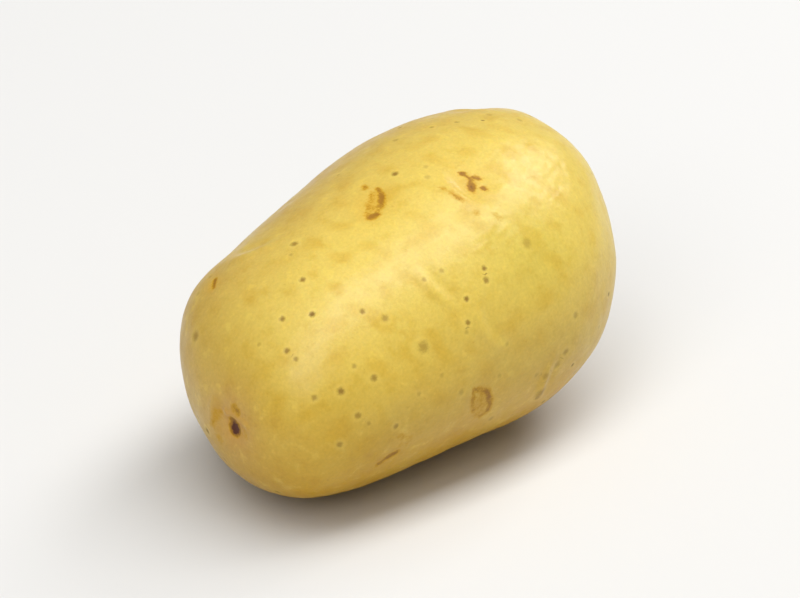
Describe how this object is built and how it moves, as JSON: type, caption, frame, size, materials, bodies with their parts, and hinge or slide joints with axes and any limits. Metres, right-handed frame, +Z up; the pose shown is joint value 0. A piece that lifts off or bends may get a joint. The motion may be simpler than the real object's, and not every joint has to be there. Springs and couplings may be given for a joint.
{
  "type": "potato",
  "caption": "Washed table potato, an irregular blunt egg with a slight waist, lying on its side on a small flat spot.",
  "frame": {"origin": "centre of the small flat spot on the underside that the potato rests on", "axes": "+X along the potato's length from the stem end to the rose end, +Z up out of the surface it rests on, +Y across it"},
  "size_m": [0.089, 0.0578, 0.0528],
  "materials": {
    "skin": "satin"
  },
  "bodies": {
    "root": {"potato": "skin"}
  },
  "joints": []
}
